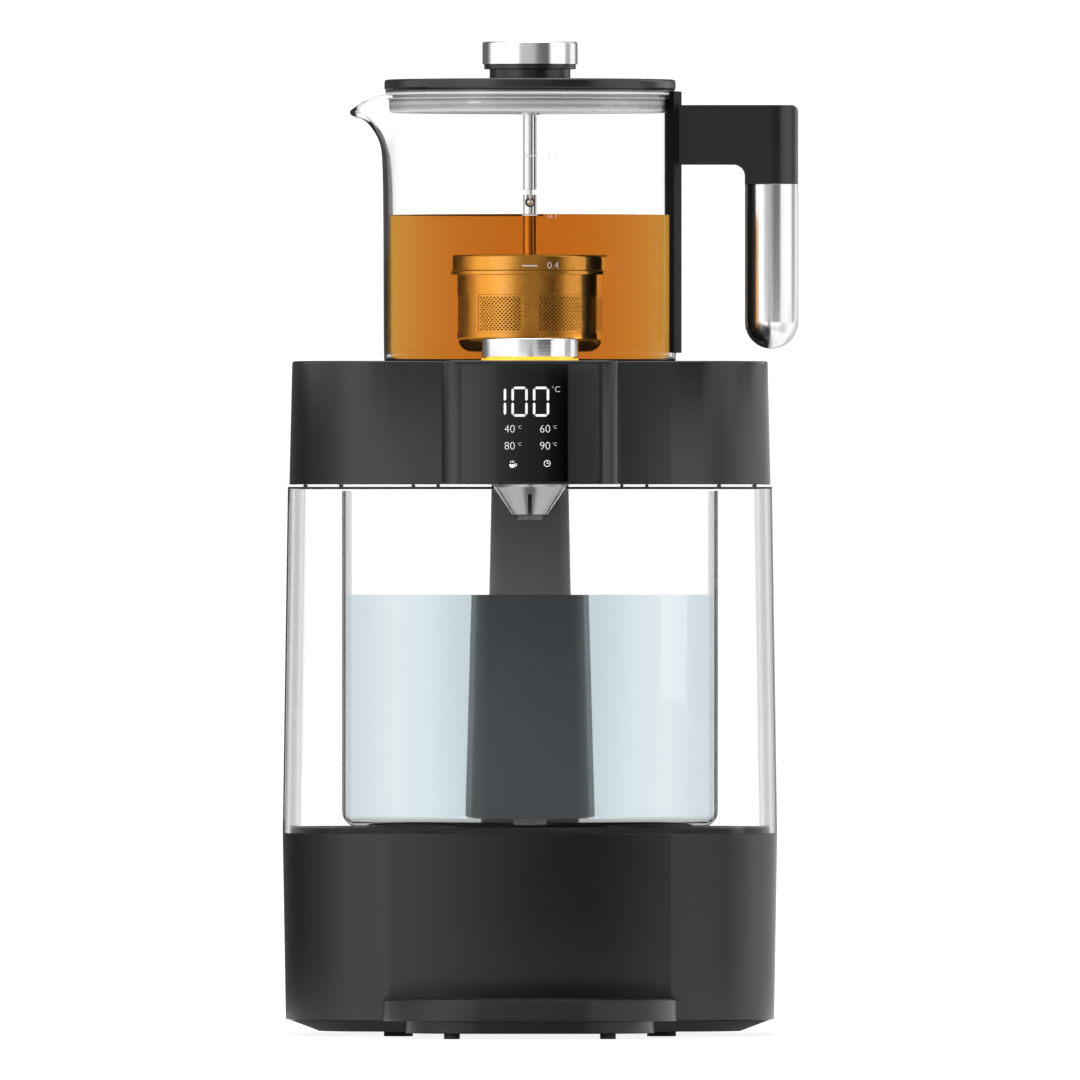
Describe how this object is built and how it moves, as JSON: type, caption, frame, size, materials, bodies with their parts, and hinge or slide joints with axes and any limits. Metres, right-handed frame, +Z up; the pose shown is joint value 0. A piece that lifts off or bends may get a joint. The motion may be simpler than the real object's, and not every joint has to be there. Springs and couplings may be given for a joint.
{
  "type": "automatic tea maker",
  "caption": "Tea maker with a clear water tank, a black base and head, a glass jug with tea basket on a hot plate, a display, a dial, a nozzle and a drip tray.",
  "frame": {"origin": "middle of the footprint of the whole outline, tray and handle included, on the table", "axes": "+X to the right seen from the front, +Y to the back, +Z up"},
  "size_m": [0.2316, 0.2792, 0.4465],
  "materials": {
    "black_shell": "fine satin black",
    "black_column": "dark grey, satin",
    "black_trim": "satin black",
    "window_gloss": "polished black",
    "clear_plastic": "clear, polished",
    "clear_plug": "clear, slightly frosted",
    "jug_glass": "clear borosilicate",
    "amber_light": "amber light guide",
    "chrome": "polished",
    "steel": "brushed",
    "aluminium": "cast",
    "rubber": "soft",
    "pump_plastic": "natural white",
    "circuit": "green board"
  },
  "bodies": {
    "machine": {"base_shell": "black_shell", "base_plate": "black_shell", "base_feet": "rubber", "base_screws": "steel", "base_deck": "black_shell", "outer_shell": "clear_plastic", "shell_seal": "rubber", "spacer_ribs": "black_shell", "tank": "clear_plastic", "tank_outlet": "pump_plastic", "spine_front": "black_column", "spine_rear": "black_column", "head_shell": "black_shell", "head_floor": "black_shell", "head_screws": "steel", "display_window": "window_gloss", "display_board": "circuit", "hot_plate": "steel", "plate_seal": "rubber", "plate_heater": "aluminium", "dial_light": "amber_light", "encoder_body": "black_trim", "nozzle_cone": "chrome", "nozzle_tube": "black_trim", "flap_pin": "steel", "fill_chute": "black_trim", "pump_mount": "rubber", "pump_motor": "steel", "pump_housing": "pump_plastic", "suction_tube": "rubber", "heater_block": "aluminium", "heater_bracket": "steel", "power_board": "circuit", "power_inlet": "black_trim", "feed_tube": "rubber", "delivery_tube": "rubber", "wire_loom": "rubber"},
    "impeller": {"pump_impeller": "pump_plastic"},
    "plunger": {"encoder_plunger": "black_trim"},
    "dial": {"dial_cap": "chrome", "dial_core": "black_trim"},
    "flap": {"fill_flap": "black_trim"},
    "jug": {"jug_glass": "jug_glass", "handle_frame": "black_trim", "handle_grip": "steel"},
    "lid": {"lid_disc": "black_trim", "lid_plug": "clear_plug", "lid_seal": "rubber", "lid_knob_base": "black_trim", "lid_knob_cap": "chrome", "lid_rod": "steel"},
    "basket": {"basket_stem": "steel", "basket_cap": "steel"},
    "cup": {"basket_cup": "steel", "basket_panels": "steel"},
    "tray": {"tray_body": "black_trim", "tray_feet": "rubber"},
    "grille": {"tray_grille": "black_trim"}
  },
  "joints": [
    {"name": "impeller_spin", "type": "hinge", "parent": "machine", "child": "impeller", "pos_m": [-0.0048, 0.0506, 0.0456], "axis": [0, 0, 1], "continuous": true},
    {"name": "dial_press", "type": "slide", "parent": "machine", "child": "plunger", "axis": [0, 0, -1], "range_m": [0, 0.0006], "stiffness_N_per_m": 900, "springref_m": -0.0015},
    {"name": "dial_turn", "type": "hinge", "parent": "plunger", "child": "dial", "pos_m": [-0.0048, -0.0704, 0.30435], "axis": [0, 0, 1], "continuous": true},
    {"name": "flap_hinge", "type": "hinge", "parent": "machine", "child": "flap", "pos_m": [-0.0048, 0.1281, 0.3008], "axis": [-1, 0, 0], "range_deg": [0, 95]},
    {"name": "jug_lift", "type": "slide", "parent": "machine", "child": "jug", "axis": [0, 0, 1], "range_m": [0, 0.15]},
    {"name": "lid_lift", "type": "slide", "parent": "jug", "child": "lid", "axis": [0, 0, 1], "range_m": [0, 0.129]},
    {"name": "basket_swing", "type": "hinge", "parent": "lid", "child": "basket", "pos_m": [-0.0048, 0.0296, 0.3744], "axis": [0, 1, 0], "range_deg": [-5, 5]},
    {"name": "cup_turn", "type": "hinge", "parent": "basket", "child": "cup", "pos_m": [-0.0048, 0.0296, 0.3438], "axis": [0, 0, 1], "range_deg": [0, 30]},
    {"name": "tray_slide", "type": "slide", "parent": "machine", "child": "tray", "axis": [0, -1, 0], "range_m": [0, 0.12]},
    {"name": "grille_lift", "type": "slide", "parent": "tray", "child": "grille", "axis": [0, 0, 1], "range_m": [0, 0.05]}
  ]
}
